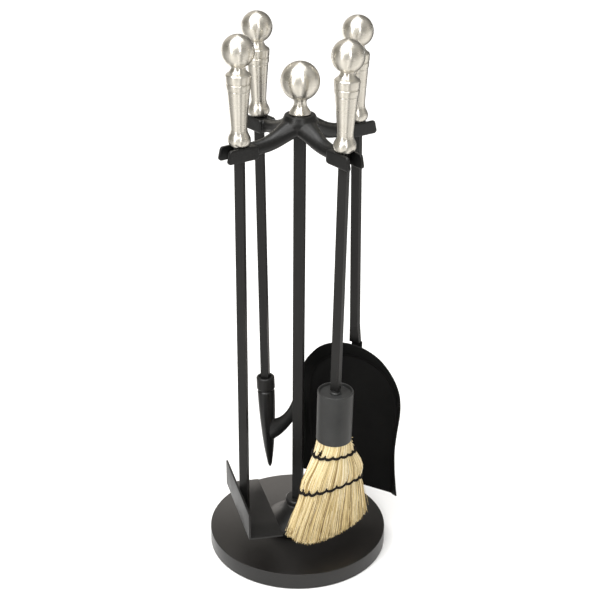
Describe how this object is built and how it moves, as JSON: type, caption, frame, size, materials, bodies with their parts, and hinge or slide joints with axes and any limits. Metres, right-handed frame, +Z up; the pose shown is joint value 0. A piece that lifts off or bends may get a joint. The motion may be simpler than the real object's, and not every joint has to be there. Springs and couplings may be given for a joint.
{
  "type": "fireplace tool set",
  "caption": "Fireplace tool set: round base, square pole and fork-ended rack with ball finial; hoe, poker, brush and shovel with turned handles hang from it.",
  "frame": {"origin": "centre of the underside of the base pad, on the floor", "axes": "+Z up along the pole; the rack arms point at 45, 135, 225 and 315 degrees from +X towards +Y; the front of the set faces -Y"},
  "size_m": [0.2395, 0.2357, 0.6806],
  "materials": {
    "satin_nickel": "satin nickel plate, finely lathe brushed round the axis",
    "black_bar": "satin black powder coat",
    "black_casting": "satin black coat over a smooth casting",
    "black_sheet": "satin black coat on pressed sheet",
    "zinc_steel": "bright zinc plate",
    "felt": "thin black felt",
    "bristle": "dry straw-coloured plant fibre",
    "twine": "waxed black twine"
  },
  "bodies": {
    "stand": {"base_plate": "black_bar", "base_pad": "felt", "base_washer": "zinc_steel", "base_bolt": "zinc_steel", "pole_foot": "black_bar", "pole": "black_bar", "tool_rack": "black_casting", "finial_stud": "zinc_steel", "finial_neck": "satin_nickel", "finial_ball": "satin_nickel"},
    "hoe": {"hoe_knob": "satin_nickel", "hoe_collar": "satin_nickel", "hoe_grip": "satin_nickel", "hoe_bell": "satin_nickel", "hoe_tie_rod": "zinc_steel", "hoe_bar": "black_bar", "hoe_blade": "black_bar"},
    "poker": {"poker_knob": "satin_nickel", "poker_collar": "satin_nickel", "poker_grip": "satin_nickel", "poker_bell": "satin_nickel", "poker_tie_rod": "zinc_steel", "poker_bar": "black_bar", "poker_socket": "black_bar", "poker_spike": "black_bar"},
    "brush": {"brush_knob": "satin_nickel", "brush_collar": "satin_nickel", "brush_grip": "satin_nickel", "brush_bell": "satin_nickel", "brush_tie_rod": "zinc_steel", "brush_bar": "black_bar", "brush_neck": "black_bar", "brush_ferrule": "black_bar", "brush_bristles": "bristle", "brush_stitching": "twine"},
    "shovel": {"shovel_knob": "satin_nickel", "shovel_collar": "satin_nickel", "shovel_grip": "satin_nickel", "shovel_bell": "satin_nickel", "shovel_tie_rod": "zinc_steel", "shovel_bar": "black_bar", "shovel_tang": "black_sheet", "shovel_pan": "black_sheet"}
  },
  "joints": [
    {"name": "hoe_lift_out", "type": "slide", "parent": "stand", "child": "hoe", "axis": [-0.6409, -0.6409, 0.4226], "range_m": [0, 0.15]},
    {"name": "poker_lift_out", "type": "slide", "parent": "stand", "child": "poker", "axis": [-0.6409, 0.6409, 0.4226], "range_m": [0, 0.15]},
    {"name": "brush_lift_out", "type": "slide", "parent": "stand", "child": "brush", "axis": [0.6409, -0.6409, 0.4226], "range_m": [0, 0.15]},
    {"name": "shovel_lift_out", "type": "slide", "parent": "stand", "child": "shovel", "axis": [0.6409, 0.6409, 0.4226], "range_m": [0, 0.15]}
  ]
}
